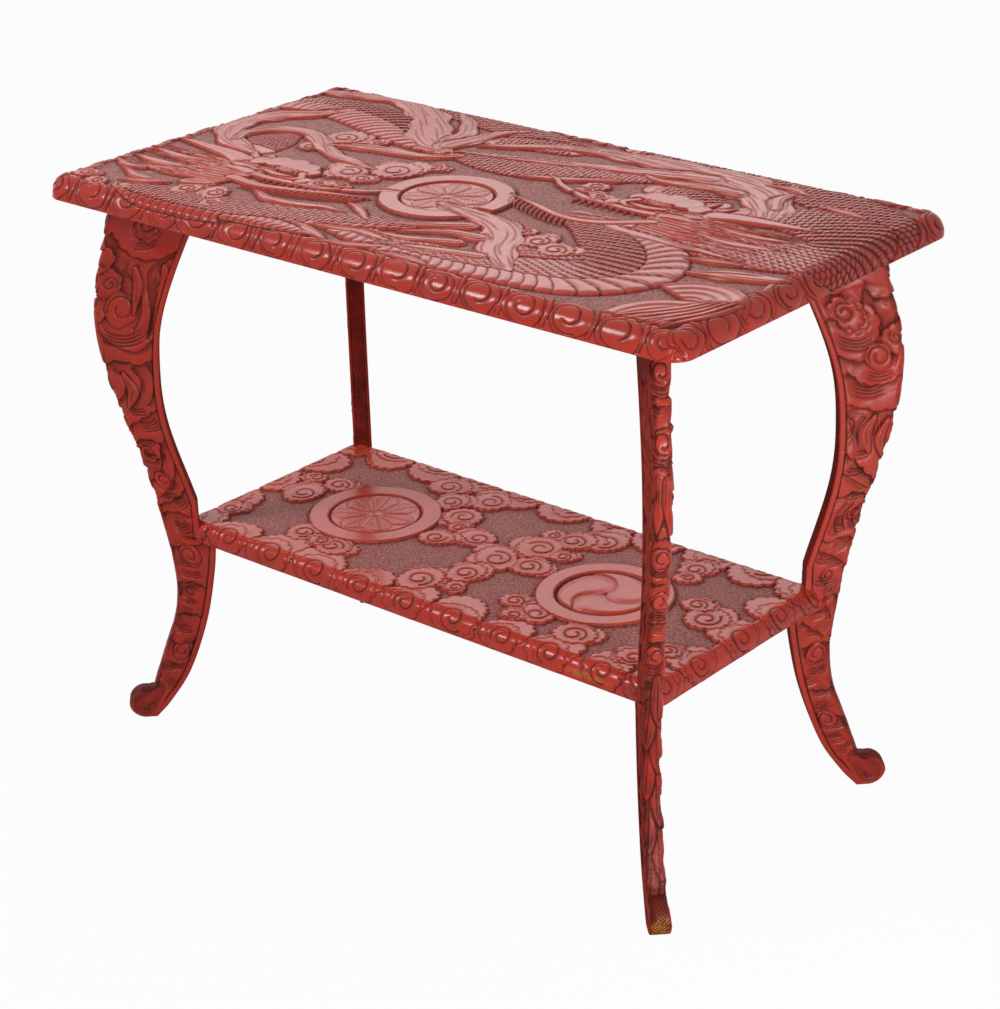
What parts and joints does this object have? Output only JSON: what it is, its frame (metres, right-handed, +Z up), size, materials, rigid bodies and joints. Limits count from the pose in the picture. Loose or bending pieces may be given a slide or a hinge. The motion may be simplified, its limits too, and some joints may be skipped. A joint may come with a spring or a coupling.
{
  "type": "two tier side table",
  "caption": "Carved red lacquer side table: oblong dragon top over a cloud carved shelf, on flat curved legs with scrolled feet set across the corners.",
  "frame": {"origin": "on the floor under the middle of the top", "axes": "+X along the top, +Y towards the rear, +Z up"},
  "size_m": [0.916, 0.506, 0.711],
  "materials": {
    "red_lacquer": "carved, red lacquer, glossy on the heights and dull brown in the cuts",
    "bare_wood": "planed, unfinished"
  },
  "bodies": {
    "root": {"top_board_front": "red_lacquer", "top_board_centre": "red_lacquer", "top_board_rear": "red_lacquer", "shelf_board_front": "red_lacquer", "shelf_board_rear": "red_lacquer", "leg_front_left": "red_lacquer", "leg_front_right": "red_lacquer", "leg_rear_right": "red_lacquer", "leg_rear_left": "red_lacquer", "top_tongue_front": "bare_wood", "top_tongue_rear": "bare_wood", "shelf_tongue": "bare_wood", "tenon_wedges_front_left": "bare_wood", "tenon_wedges_front_right": "bare_wood", "tenon_wedges_rear_right": "bare_wood", "tenon_wedges_rear_left": "bare_wood", "shelf_dowel_front_left": "bare_wood", "shelf_dowel_front_right": "bare_wood", "shelf_dowel_rear_right": "bare_wood", "shelf_dowel_rear_left": "bare_wood"}
  },
  "joints": []
}
